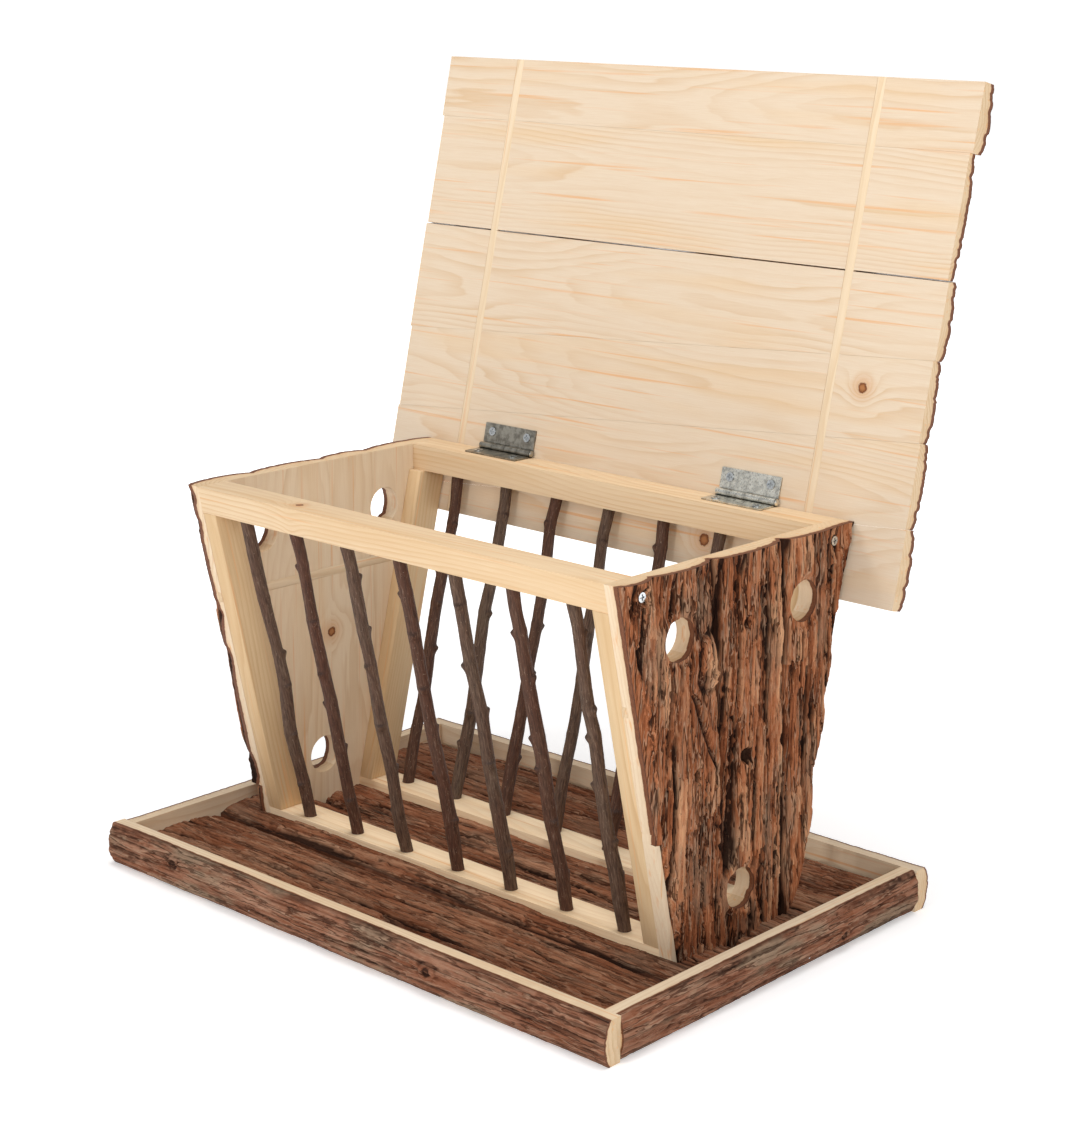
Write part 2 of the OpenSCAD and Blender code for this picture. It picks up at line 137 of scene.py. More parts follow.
def rough_noise(x, y, seed, octaves):
    """Noise with finer and weaker noise on top, from -1 to 1."""
    total, size, whole = 0, 1.0, 0
    for k in range(octaves):
        total = total + size * noise(x * 2**k, y * 2**k, seed + 31 * k)
        whole += size
        size *= 0.55
    return total / whole


def seams(u, v, width, seed):
    """Wandering seams along u, about width mm apart: distance to the nearest one in mm,
    how open it is from 0 to 1, and the number of the strip."""
    drift = 0.14 * width * noise(u / 60, v / (3 * width), seed)
    drift = drift + 0.05 * width * noise(u / 12, v / width, seed + 1)
    x = (v + drift) / width
    nearest = np.full(x.shape, 99.0)
    opened = np.zeros(x.shape)
    strip = np.floor(x) - 2
    for shift in (-1, 0, 1, 2):
        k = np.floor(x) + shift
        own = 17 * k
        at = k + 0.8 * (lattice(k, own, seed + 2) - 0.5) + 0.16 * noise(u / 50, own, seed + 3)
        away = np.abs(x - at) * width
        here = np.clip(0.6 + 1.4 * noise(u / 42, own, seed + 4), 0, 1)
        opened = np.where(away < nearest, here, opened)
        nearest = np.minimum(nearest, away)
        strip = np.where(at < x, k, strip)
    return nearest, opened, strip


# ---------- Bark relief ----------


@dataclass
class Bark:
    """One kind of bark, in mm: its plates, the depths of its marks and its thickness.
    From 0 to 1, shadow is how dark its furrows are, stripes how much its strips differ,
    and ends how much of its relief is left at the board's sawn ends."""

    plate_l: float
    plate_w: float
    furrow: float
    split: float
    flake: float
    lump: float
    thick: float
    shadow: float
    stripes: float
    ends: float


PANEL_BARK = Bark(
    plate_l=80, plate_w=11, furrow=4.8, split=2.3, flake=0.6, lump=2.0, thick=3.4,
    shadow=1.0, stripes=1.0, ends=0.12)
FLOOR_BARK = Bark(
    plate_l=130, plate_w=16, furrow=2.8, split=1.5, flake=0.5, lump=1.6, thick=5.0,
    shadow=0.8, stripes=0.8, ends=0.4)
RAIL_BARK = Bark(
    plate_l=26, plate_w=6, furrow=0.4, split=0.7, flake=0.5, lump=0.4, thick=1.3,
    shadow=0.38, stripes=0.5, ends=0.5)
LID_BARK = Bark(
    plate_l=60, plate_w=12, furrow=2.6, split=1.3, flake=0.5, lump=1.7, thick=3.2,
    shadow=1.0, stripes=1.0, ends=0.5)


def broken_strip(u, v, length, strip, seed):
    """Random number from 0 to 1 for each ragged-ended piece of a strip."""
    ragged = 3.5 * noise(u / 6, v / 1.6, seed) + 2.0 * noise(u / 2.5, v / 0.9, seed + 1)
    piece = np.floor((u + ragged) / length + 9 * lattice(strip, 3 * strip, seed + 2))
    return lattice(strip, piece, seed + 3)


def bark_relief(u, v, seed, kind):
    """Height over the slab's arch in mm, openness (0 in a furrow, 1 on a plate; the bark material
    paints shade where it is low) and tone.
    """
    u, v = np.broadcast_arrays(u, v)
    rough = 0.45 * noise(u / 3, v / 1.7, seed + 15)
    gap, opened, strip = seams(u, v, kind.plate_w, seed)
    gap_2, opened_2, strip_2 = seams(u, v, kind.plate_w / 2.7, seed + 5)
    furrow = (1 - smooth(gap + rough, 0.25, 2.3)) * opened
    split = (1 - smooth(gap_2 + rough, 0.1, 1.1)) * opened_2
    rise = broken_strip(u, v, kind.plate_l, strip, seed + 20)
    rise_2 = broken_strip(u, v, kind.plate_l / 2.2, strip_2, seed + 30)
    layers = 3.2 * rough_noise(u / 30, v / 3.4, seed + 11, 4)
    step = np.floor(layers) + smooth(layers - np.floor(layers), 0.0, 0.2)
    height = (
        kind.lump * rough_noise(u / 90, v / 16, seed + 17, 2)
        + kind.lump * (rise - 0.5) * smooth(gap, 0, 1.5)
        + kind.lump * 0.75 * (rise_2 - 0.5)
        + kind.lump * 0.5 * smooth(gap, 0, 4)
        + kind.flake * step
        + kind.flake * 0.5 * rough
        - kind.furrow * furrow
        - kind.split * split
    )
    # The bark material paints shade where openness is low, in furrows and splits.
    openness = 1 - kind.shadow * (furrow + 0.7 * split)
    tone = 0.5 + kind.stripes * (0.35 * rise + 0.4 * rise_2 - 0.36) + 0.09 * step
    return height, np.clip(openness, 0, 1), tone


# ---------- Boards' own frames and outlines ----------


def rack_up(node):
    """Direction up along the rack's sloping front or back, whichever the node is on."""
    side = -1 if node.startswith("front") else 1
    return np.array([0, side * math.sin(SLOPE), math.cos(SLOPE)])


class Place:
    """Where a board lies: its frame's origin in mm, and directions u and v."""

    def __init__(self, origin, u, v):
        self.origin = np.array(origin, float)
        self.axes = np.array([u, v, np.cross(u, v)])

    def world(self, points):
        return (self.origin + points @ self.axes) * MM

    def local(self, points):
        return (points - self.origin) @ self.axes.T


def half_outline(points, sign):
    """Lower (sign 1) or upper (sign -1) side of the points' convex outline: its u and v,
    by rising u."""
    edge = {}
    for u, v in points:
        key = round(float(u), 1)
        if key not in edge or sign * v < sign * edge[key]:
            edge[key] = float(v)
    kept = []
    for p in sorted(edge.items()):
        while len(kept) > 1:
            (au, av), (bu, bv) = kept[-2], kept[-1]
            if sign * ((bu - au) * (p[1] - av) - (bv - av) * (p[0] - au)) > 0:
                break
            kept.pop()
        kept.append(p)
    return np.array(kept).T


WORLD = Place((0, 0, 0), X, Y)
LID_PLACE = Place(LID_FOOT, -X, LID_UP)


def sawn_face(node, place):
    """(u, v) of a CAD slab's vertices in its sawn face."""
    points = place.local(cad_points(node))
    return points[points[:, 2] < 0.05][:, :2]


# ---------- Meshes ----------


def linked(name, data):
    """A new object with this data, in the scene."""
    obj = bpy.data.objects.new(name, data)
    bpy.context.scene.collection.objects.link(obj)
    return obj


def new_object(name, points, faces, place):
    """Mesh object from points in a place's mm."""
    mesh = bpy.data.meshes.new(name)
    mesh.from_pydata(place.world(points).tolist(), [], faces)
    mesh.validate()
    return linked(name, mesh)


def bake_modifiers(obj):
    """Replaces an object's mesh by its modified mesh."""
    graph = bpy.context.evaluated_depsgraph_get()
    mesh = bpy.data.meshes.new_from_object(obj.evaluated_get(graph))
    obj.modifiers.clear()
    mesh.materials.clear()
    obj.data = mesh


def carve(obj, tools):
    for tool in tools:
        cut = obj.modifiers.new("cut", "BOOLEAN")
        cut.operation = "DIFFERENCE"
        cut.solver = "MANIFOLD"
        cut.object = tool
    bake_modifiers(obj)


def put_attribute(mesh, name, values, kind="FLOAT"):
    attribute = mesh.attributes.new(name, kind, "POINT")
    key = "vector" if kind == "FLOAT_VECTOR" else "value"
    attribute.data.foreach_set(key, np.asarray(values, np.float32).ravel())


def put_wood(mesh, points, pith, skin, number):
    """What the pine materials read: place from the pith, place, skin and board number.
    Skin is the depth under the bark's surface, in bark thicknesses."""
    put_attribute(mesh, "grain", points + pith, "FLOAT_VECTOR")
    put_attribute(mesh, "spot", points, "FLOAT_VECTOR")
    put_attribute(mesh, "skin", skin)
    put_attribute(mesh, "board", np.full(len(points), number))


def board_number(name):
    """Repeatable number from 0 to 1 from a piece's name."""
    return (sum((k + 3) * ord(c) for k, c in enumerate(name)) * 37 % 997) / 997


def grid_faces(rows, columns):
    i, j = np.meshgrid(np.arange(rows - 1), np.arange(columns - 1), indexing="ij")
    a = (i * columns + j).ravel()
    return np.stack([a, a + columns, a + columns + 1, a + 1], axis=1)


def tube_faces(rows, columns):
    """Faces of a closed tube whose points go round in rows of so many columns."""
    i, j = np.meshgrid(np.arange(rows - 1), np.arange(columns), indexing="ij")
    a, b = (i * columns + j).ravel(), (i * columns + (j + 1) % columns).ravel()
    sides = np.stack([a, b, b + columns, a + columns], axis=1).tolist()
    ends = [list(range(columns))[::-1], list(range((rows - 1) * columns, rows * columns))]
    return sides + ends


def slab_faces(rows, columns):
    """Faces of a slab's points: its bark grid, long sides, sawn face and two ends."""
    count = rows * columns
    i = np.arange(rows - 1)
    low_i, high_i = count + i, count + rows + i
    edge_l, edge_r = i * columns, i * columns + columns - 1
    walls = [
        np.stack([edge_l, low_i, low_i + 1, edge_l + columns], axis=1),
        np.stack([edge_r, edge_r + columns, high_i + 1, high_i], axis=1),
        np.stack([low_i, high_i, high_i + 1, low_i + 1], axis=1)[1:-1],
    ]
    faces = np.concatenate([grid_faces(rows, columns)] + walls).tolist()
    spare = count + 2 * rows
    near = [count] + list(range(spare, spare + columns - 2)) + [count + rows]
    spare = spare + columns - 2
    far = [count + rows - 1] + list(range(spare, spare + columns - 2)) + [count + 2 * rows - 1]
    for j in range(columns - 1):
        back = count - columns + j
        faces.append([j, j + 1, near[j + 1], near[j]])
        faces.append([back + 1, back, far[j], far[j + 1]])
    faces.append(near + [count + rows + 1, count + 1])
    faces.append(far[::-1] + [count + rows - 2, count + 2 * rows - 2])
    return faces


SEAM_GAP = 0.04
NARROWEST = 0.8
LEAST_HEIGHT = 3.0
BARK_SKIN = 0.3
SAWN_SKIN = 2.2
ACROSS = 0.75
CREASE = math.radians(58)


@dataclass
class Slab:
    """Bark slab on a CAD node's outline, sawn flat below and rough with bark above. Edge
    and crown are its thickness at its sides and middle. Extra adds marks to the bark, and
    spread widens it past the sawn face."""

    node: str
    place: Place
    edge: float
    crown: float
    kind: Bark
    seed: int
    extra: object = None
    spread: object = None

    def __post_init__(self):
        sawn = sawn_face(self.node, self.place)
        self.low_side = half_outline(sawn, 1)
        self.high_side = half_outline(sawn, -1)
        self.start, self.end = sawn[:, 0].min(), sawn[:, 0].max()

    def sawn_sides(self, u):
        """Low and high v of the sawn face at any u, a little inside its seams."""
        low = np.interp(u, *self.low_side) + SEAM_GAP
        return low, np.interp(u, *self.high_side) - SEAM_GAP

    def sides(self, u):
        """Low and high v of the bark side, which may spread past the sawn face."""
        low, high = self.sawn_sides(u)
        if self.spread:
            wider_low, wider_high = self.spread(u)
            return low - wider_low, high + wider_high
        return low, high

    def surface(self, u, v):
        """Height of the bark at (u, v), its openness and its tone."""
        low, high = self.sides(u)
        share = np.clip((v - low) / np.maximum(high - low, 1), 0, 1)
        dome = 1 - np.abs(2 * share - 1) ** 2.4
        relief, openness, tone = bark_relief(u, v, self.seed, self.kind)
        rim = smooth(np.minimum(share, 1 - share) * (high - low), 0, 5)
        worn = smooth(np.minimum(u - self.start, self.end - u), 0, 11)
        worn = self.kind.ends + (1 - self.kind.ends) * worn
        relief = relief * (0.5 + 0.5 * rim) * worn
        height = self.edge + (self.crown - self.edge) * dome + relief
        # Along the slab's long sides, where it meets its neighbours, the bark is sunk and its
        # openness lowered, which paints shade in the seam.
        inside = np.minimum(v - low, high - v) + 0.8 * noise(u / 11, v / 5, self.seed + 50)
        parted = (1 - smooth(inside, 0.2, 2.4)) * self.kind.shadow
        height = height - 1.6 * parted * worn
        openness = np.clip(openness - 0.8 * parted, 0, 1)
        if self.extra:
            height, openness, tone = self.extra(u, v, height, openness, tone)
        return np.maximum(height, LEAST_HEIGHT), openness, tone

    def bark_grid(self, step):
        """Grid of (u, v) over the bark side, about step mm apart, where it is wide enough."""
        probe = np.linspace(self.start, self.end, 400)
        low, high = self.sides(probe)
        wide = probe[high - low > NARROWEST]
        start, end = wide.min(), wide.max()
        rows = int((end - start) / step) + 2
        columns = int((high - low).max() / step) + 2
        u = np.linspace(start, end, rows)[:, None] + np.zeros((1, columns))
        low, high = self.sides(u[:, :1])
        return u, low + (high - low) * np.linspace(0, 1, columns)[None, :]

    def sawn_points(self, u, columns):
        """The sawn face's low and high edges, then the points between them at its ends."""
        low, high = self.sawn_sides(u)
        left = np.stack([u, low, 0 * u], axis=1)
        right = np.stack([u, high, 0 * u], axis=1)
        share = np.linspace(0, 1, columns)[1:-1, None]
        return [left, right] + [left[row] + (right[row] - left[row]) * share for row in (0, -1)]

    def build(self, step, tools=()):
        """The slab as an object, with about step mm between its points, cut by the tools."""
        u, v = self.bark_grid(step * FINE)
        height, _, _ = self.surface(u, v)
        bark_side = np.stack([u, v, height], axis=2).reshape(-1, 3)
        points = np.concatenate([bark_side] + self.sawn_points(u[:, 0], u.shape[1]))
        obj = new_object(self.node + "_bark", points, slab_faces(*u.shape), self.place)
        if tools:
            carve(obj, tools)
        self.finish_mesh(obj)
        return obj

    def finish_mesh(self, obj):
        """Puts what the materials read on every vertex, and the materials on the faces."""
        mesh, number = obj.data, board_number(obj.name)
        points = self.place.local(mesh_points(mesh))
        u, v, w = points.T
        low, high = self.sides(u)
        height, openness, tone = self.surface(u, v)
        skin = (height - w) / self.kind.thick + 4 * np.clip(-openness, 0, 1)
        skin = np.where(w < 0.5, np.maximum(skin, SAWN_SKIN), skin)
        middle = np.median((low + high) / 2 + 14 * (board_number(obj.name + "m") - 0.5))
        put_wood(mesh, points, (0, -middle, 26 + 30 * number), skin, number)
        put_attribute(mesh, "open", openness)
        put_attribute(mesh, "tone", tone)
        split_faces(mesh, skin, self.place.axes[0])


def split_faces(mesh, skin, along):
    """Material 0 on bark, 1 on sawn faces, 2 on faces across the grain."""
    count = len(mesh.polygons)
    starts = np.empty(count, np.int32)
    mesh.polygons.foreach_get("loop_start", starts)
    vertex = np.empty(len(mesh.loops), np.int32)
    mesh.loops.foreach_get("vertex_index", vertex)
    normals = np.empty(count * 3)
    mesh.polygons.foreach_get("normal", normals)
    deepest = np.maximum.reduceat(skin[vertex], starts)
    across = np.abs(normals.reshape(-1, 3) @ along) > ACROSS
    kind = np.where(deepest < BARK_SKIN, 0, np.where(across, 2, 1)).astype(np.int32)
    mesh.polygons.foreach_set("material_index", kind)
    mesh.polygons.foreach_set("use_smooth", kind == 0)
    mesh.set_sharp_from_angle(angle=CREASE)


def dress(obj, materials, body, node):
    """Gives a piece its materials and body, and hides the CAD node it stands for."""
    for material in materials:
        obj.data.materials.append(material)
    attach(obj, body)
    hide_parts(node)


def corners(low, high):
    """The eight corners of a box."""
    return np.array(list(product(*zip(low, high))))


GROOVE_SLACK = 0.04
ROD_SIDES = 64


def groove_tool(node, place):
    """Cutting body for the groove of a key that lies flush in a sawn face."""
    points = place.local(cad_points(node))
    low, high = points.min(0) - GROOVE_SLACK, points.max(0) + GROOVE_SLACK
    low[2] -= 2
    return hull_tool(corners(low, high), 0, place)


def hull_tool(points, grow, place):
    """Hidden convex body round points, grown by some mm on each side, for cutting."""
    middle = (points.min(0) + points.max(0)) / 2
    half = (points.max(0) - points.min(0)) / 2
    points = middle + (points - middle) * (half + grow) / half
    shape = bmesh.new()
    for p in place.world(points):
        shape.verts.new(p)
    hull = bmesh.ops.convex_hull(shape, input=shape.verts)
    spare = [e for e in hull["geom_interior"] if isinstance(e, bmesh.types.BMVert)]
    bmesh.ops.delete(shape, geom=spare, context="VERTS")
    mesh = bpy.data.meshes.new("tool")
    shape.to_mesh(mesh)
    shape.free()
    return linked("tool", mesh)


def drop(tools):
    for tool in tools:
        bpy.data.objects.remove(tool)


def round_tool(place, u, v, radius):
    """Hidden rod along w through (u, v)."""
    n = ROD_SIDES
    turn = np.linspace(0, 2 * math.pi, n, endpoint=False)
    ring = np.stack([u + radius * np.cos(turn), v + radius * np.sin(turn)], axis=1)
    top = np.column_stack([ring, np.full(n, 60)])
    low = np.column_stack([ring, np.full(n, -5)])
    return new_object("tool", np.concatenate([low, top]), tube_faces(2, n), place)


# ---------- Materials ----------


def rgb(red, green, blue):
    """Linear colour from display values of 11 to 255."""
    return (*(((c / 255 + 0.055) / 1.055) ** 2.4 for c in (red, green, blue)), 1.0)


class Shader:
    """A node material built from short calls that each return an output socket."""

    def __init__(self, name):
        self.material = bpy.data.materials.new(name)
        self.material.use_nodes = True
        self.tree = self.material.node_tree
        self.tree.nodes.clear()

    def add(self, kind, values, output=0, **settings):
        node = self.tree.nodes.new("ShaderNode" + kind)
        for key, value in settings.items():
            setattr(node, key, value)
        for key, value in values.items():
            socket = node.inputs[key]
            if isinstance(value, bpy.types.NodeSocket):
                self.tree.links.new(value, socket)
            else:
                socket.default_value = value
        return node.outputs[output] if node.outputs else None

    def attribute(self, name, output="Fac"):
        return self.add("Attribute", {}, output, attribute_name=name)

    def math(self, operation, a, b=0.0, c=0.0):
        return self.add("Math", {0: a, 1: b, 2: c}, operation=operation)

    def split(self, vector):
        node = self.add("SeparateXYZ", {0: vector}).node
        return node.outputs[0], node.outputs[1], node.outputs[2]

    def join(self, x, y, z):
        return self.add("CombineXYZ", {0: x, 1: y, 2: z})

    def noise(self, place, lumps, detail=2.0, roughness=0.5):
        """Noise with so many lumps per unit along each of the place's axes."""
        scaled = self.add("VectorMath", {0: place, 1: lumps}, operation="MULTIPLY")
        values = {"Vector": scaled, "Scale": 1.0, "Detail": detail, "Roughness": roughness}
        return self.add("TexNoise", values)

    def ramp(self, factor, *stops):
        node = self.add("ValToRGB", {0: factor}).node
        elements = node.color_ramp.elements
        while len(elements) < len(stops):
            elements.new(0.5)
        for element, (position, colour) in zip(elements, stops):
            element.position = position
            element.color = colour if isinstance(colour, tuple) else (colour, colour, colour, 1)
        return node.outputs[0]

    def mix(self, factor, a, b):
        return self.add("Mix", {0: factor, 6: a, 7: b}, 2, data_type="RGBA")

    def range(self, value, low, high, to_low=0.0, to_high=1.0):
        """The value's place between low and high, as a number from to_low to to_high."""
        values = {0: value, 1: low, 2: high, 3: to_low, 4: to_high}
        return self.add("MapRange", values)

    def layer(self, colour, field, low, high, most, top):
        """The colour, with up to most of the top colour as field goes from low to high."""
        return self.mix(self.range(field, low, high, 0.0, most), colour, top)

    def own_place(self, far):
        """The spot attribute, moved along x so that no two boards look the same."""
        x, y, z = self.split(self.attribute("spot", "Vector"))
        return self.join(self.math("MULTIPLY_ADD", self.attribute("board"), far, x), y, z)

    def finish(self, colour, roughness, height, distance, metallic=0.0, specular=0.25, glow=0.0):
        """The material, with a height of 1 standing distance metres proud."""
        bump = self.add("Bump", {"Height": height, "Distance": distance})
        values = {
            "Base Color": colour,
            "Roughness": roughness,
            "Metallic": metallic,
            "Normal": bump,
            "Specular IOR Level": specular,
            "Emission Strength": glow,
        }
        surface = self.add("BsdfPrincipled", values)
        self.add("OutputMaterial", {"Surface": surface})
        return self.material


BARK_DARK = rgb(74, 43, 29)
WOOD_PALE = rgb(234, 213, 184)
# Pale pine darkened for the lid: painted shade against the stronger light on it.
LID_PALE_PAINTED_SHADE = rgb(225, 206, 182)


def wood_field(s):
    """Wavy distance from the tree's pith in mm, and the grain's place, moved by board."""
    board = s.attribute("board")
    x, y, z = s.split(s.attribute("grain", "Vector"))
    moved = s.join(s.math("ADD", x, s.math("MULTIPLY", board, 900.0)), y, z)
    slow = s.noise(moved, (0.0032, 0.012, 0.012), 1.0)
    wobble = s.noise(moved, (0.011, 0.1, 0.1), 2.0)
    radius = s.math("SQRT", s.math("ADD", s.math("MULTIPLY", y, y), s.math("MULTIPLY", z, z)))
    taper = s.math("MULTIPLY", x, s.range(board, 0, 1, -0.02, 0.022))
    rings = s.math("ADD", radius, taper)
    rings = s.math("MULTIPLY_ADD", slow, 30.0, rings)
    rings = s.math("MULTIPLY_ADD", wobble, 4.0, rings)
    return rings, moved


def ring_lines(s, rings, spacing):
    """Dark late wood, 0 to 1, strongest at the end of each ring."""
    phase = s.math("FRACT", s.math("DIVIDE", rings, spacing))
    return s.ramp(phase, (0.0, 0.0), (0.45, 0.05), (0.86, 0.85), (0.93, 1.0), (1.0, 0.0))


def knot_fields(s, knots, rings):
    """Rings bent round the knots, and each knot's heart, core and halo from 0 to 1."""
    x, y, z = s.split(s.attribute("spot", "Vector"))
    heart, core, halo = 0.0, 0.0, 0.0
    for ku, kv, size in knots:
        offset = s.join(s.math("SUBTRACT", x, ku), s.math("SUBTRACT", y, kv), 0.0)
        away = s.add("VectorMath", {0: offset}, 1, operation="LENGTH")
        pull = s.math("EXPONENT", s.math("MULTIPLY", s.math("DIVIDE", away, size * 1.9), -1.0))
        rings = s.math("MULTIPLY_ADD", pull, 16.0, rings)
        uneven = s.math("MULTIPLY_ADD", s.noise(offset, (0.5, 0.5, 0.5), 3.0), 2.4, away)
        uneven = s.math("SUBTRACT", uneven, 1.2)
        heart = s.math("MAXIMUM", s.range(uneven, size, size * 0.8), heart)
        core = s.math("MAXIMUM", s.range(uneven, size * 0.75, size * 0.35), core)
        halo = s.math("MAXIMUM", s.range(away, size * 3.2, size), halo)
    return rings, heart, core, halo


def bark_rim(s, moved, fibre, colour):
    """Cut bark, and wood stained next to it, on a sawn face's edge."""
    ragged = s.noise(moved, (0.25, 0.25, 0.25), 3.0)
    depth = s.math("MULTIPLY_ADD", s.math("SUBTRACT", ragged, 0.5), 0.3, s.attribute("skin"))
    cut_bark = s.mix(s.range(fibre, 0.3, 0.7), rgb(134, 84, 56), rgb(96, 56, 36))
    cut_bark = s.mix(s.range(depth, 0.3, 0.0), cut_bark, BARK_DARK)
    colour = s.layer(colour, depth, 1.9, 1.1, 0.3, rgb(206, 158, 108))
    return s.mix(s.range(depth, 1.08, 0.98), colour, cut_bark)


def pine(name, pale, line, deep, knots=(), strength=0.62):
    """Sawn pine with growth rings, fibre, knots as (u, v, radius), and a rim of bark."""
    s = Shader(name)
    rings, moved = wood_field(s)
    rings, heart, core, halo = knot_fields(s, knots, rings)
    late = ring_lines(s, rings, 2.6)
    patchy = s.noise(moved, (0.006, 0.05, 0.05), 2.0)
    late = s.math("MULTIPLY", late, s.range(patchy, 0.35, 0.65, 0.15, 1.0))
    tone = s.noise(moved, (0.005, 0.05, 0.05), 2.0)
    fibre = s.noise(moved, (0.05, 1.6, 1.6), 3.0, 0.65)
    streak = s.noise(moved, (0.007, 0.35, 0.35), 2.0)
    colour = s.mix(s.math("MULTIPLY", late, strength), pale, line)
    colour = s.layer(colour, tone, 0.5, 0.72, 0.6, deep)
    colour = s.layer(colour, fibre, 0.35, 0.7, 0.22, line)
    colour = s.layer(colour, streak, 0.61, 0.73, 0.7, rgb(226, 170, 116))
    if knots:
        colour = s.mix(s.math("MULTIPLY", halo, 0.5), colour, rgb(205, 150, 98))
        colour = s.mix(heart, colour, rgb(112, 62, 32))
        colour = s.mix(s.math("MULTIPLY", core, 0.7), colour, rgb(190, 128, 76))
    colour = bark_rim(s, moved, fibre, colour)
    height = s.math("MULTIPLY_ADD", late, -0.35, fibre)
    roughness = s.range(fibre, 0.3, 0.7, 0.55, 0.7)
    return s.finish(colour, roughness, height, 0.00012)


def bark(name, shade, plate, tan, grey, dark, marked, weathered=0.5):
    """Bark in strips of brown and rust, with painted shade in the furrows, seams and pits,
    hairlines, pale flecks and pale crack lips that are partly painted highlight. From 0 to 1,
    marked says how strong those are, and weathered the grey patches."""
    s = Shader(name)
    moved = s.own_place(700.0)
    openness = s.attribute("open")
    fibre = s.noise(moved, (0.05, 0.9, 0.5), 4.0, 0.65)
    hair = s.noise(moved, (0.08, 1.1, 0.7), 4.0, 0.65)
    crack = s.noise(moved, (0.015, 0.22, 0.16), 3.0, 0.55)
    line = s.range(s.math("ABSOLUTE", s.math("SUBTRACT", crack, 0.5)), 0.022, 0.008)
    lip = s.math("MULTIPLY", s.range(crack, 0.518, 0.53), s.range(crack, 0.56, 0.54))
    chips = s.noise(moved, (0.18, 0.8, 0.65), 5.0, 0.72)
    patch = s.noise(moved, (0.018, 0.06, 0.06), 3.0, 0.6)
    tone = s.math("MULTIPLY_ADD", s.math("SUBTRACT", fibre, 0.5), 1.2, s.attribute("tone"))
    colour = s.ramp(tone, (0.1, dark), (0.3, shade), (0.55, plate), (0.95, tan))
    colour = s.layer(colour, patch, 0.52, 0.64, weathered, grey)
    colour = s.layer(colour, patch, 0.46, 0.36, 0.4, rgb(140, 78, 48))
    colour = s.layer(colour, hair, 0.57, 0.66, 0.65 * marked, dark)
    colour = s.layer(colour, hair, 0.4, 0.32, 0.6 * marked, tan)
    colour = s.layer(colour, chips, 0.62, 0.72, 0.75 * marked, rgb(200, 164, 132))
    colour = s.layer(colour, chips, 0.38, 0.3, 0.5 * marked, dark)
    # Pale lips beside the crack lines: partly paler flake edges, partly painted highlight.
    colour = s.mix(s.math("MULTIPLY", lip, 0.45 * marked), colour, rgb(196, 164, 136))
    colour = s.mix(s.math("MULTIPLY", line, 0.75 * marked), colour, dark)
    # Painted shade: dark where openness is low, in furrows, seams, crevices and pits.
    colour = s.layer(colour, openness, 0.85, 0.3, 0.95, dark)
    height = s.math("MULTIPLY_ADD", hair, -0.7, fibre)
    height = s.math("MULTIPLY_ADD", chips, 0.7, height)
    height = s.math("MULTIPLY_ADD", line, -0.8, height)
    return s.finish(colour, 0.92, height, 0.0013, specular=0.12)


def plain_metal(name, base, spot, low, high):
    """Zinc-plated steel, slightly mottled and scuffed, with painted shade in its gaps and slots.
    """
    s = Shader(name)
    place = s.add("TexCoord", {}, "Object")
    mottle = s.noise(place, (260, 260, 260), 3.0, 0.6)
    scuff = s.noise(place, (900, 160, 900), 2.0, 0.6)
    colour = s.mix(s.range(mottle, 0.42, 0.62), base, spot)
    # Painted shade in gaps, slots and screw recesses, from ambient occlusion.
    painted_recess_shade = s.add("AmbientOcclusion", {"Distance": 1.4 * MM}, "AO", samples=8)
    colour = s.mix(s.range(painted_recess_shade, 0.35, 0.9, 0.85, 0.0), colour, rgb(40, 38, 34))
    roughness = s.range(scuff, 0.35, 0.65, low, high)
    height = s.math("ADD", mottle, scuff)
    return s.finish(colour, roughness, height, 0.00005, metallic=1.0, specular=0.5)


def twig_skin(name):
    """Smooth dark twig bark, red-brown to grey-olive by twig, with pale specks."""
    s = Shader(name)
    moved = s.own_place(500.0)
    blotch = s.noise(moved, (0.022, 0.12, 0.12), 3.0, 0.6)
    fibre = s.noise(moved, (0.12, 1.1, 1.1), 4.0, 0.65)
    own = s.range(s.attribute("board"), 0, 1, 0.1, 0.85)
    tone = s.math("MULTIPLY_ADD", s.math("SUBTRACT", blotch, 0.5), 0.8, own)
    colour = s.ramp(tone, (0.1, rgb(88, 54, 39)), (0.45, rgb(93, 65, 50)),
                    (0.7, rgb(99, 77, 62)), (1.0, rgb(106, 90, 75)))
    colour = s.mix(s.range(fibre, 0.35, 0.55, 0.7, 0.0), colour, rgb(46, 31, 25))
    colour = s.layer(colour, fibre, 0.58, 0.7, 0.4, rgb(160, 136, 118))
    dots = s.noise(moved, (0.6, 1.1, 1.1), 1.0)
    colour = s.layer(colour, dots, 0.7, 0.76, 0.45, rgb(170, 146, 124))
    colour = s.mix(s.attribute("open"), colour, rgb(52, 36, 30))
    height = s.math("MULTIPLY_ADD", dots, 0.5, fibre)
    return s.finish(colour, 0.6, height, 0.0004)


def backdrop():
    """White floor that glows white in the distance."""
    s = Shader("backdrop")
    place = s.add("TexCoord", {}, "Object")
    grain = s.noise(place, (40, 40, 40), 2.0)
    away = s.add("VectorMath", {0: place}, 1, operation="LENGTH")
    glow = s.range(away, 0.45, 1.3, 0.28, 0.9)
    return s.finish(rgb(252, 252, 252), 0.9, grain, 0.00002, glow=glow)


LINE = rgb(208, 172, 130)
DEEP = rgb(225, 194, 154)
PINE = pine("pale_pine", WOOD_PALE, LINE, DEEP)
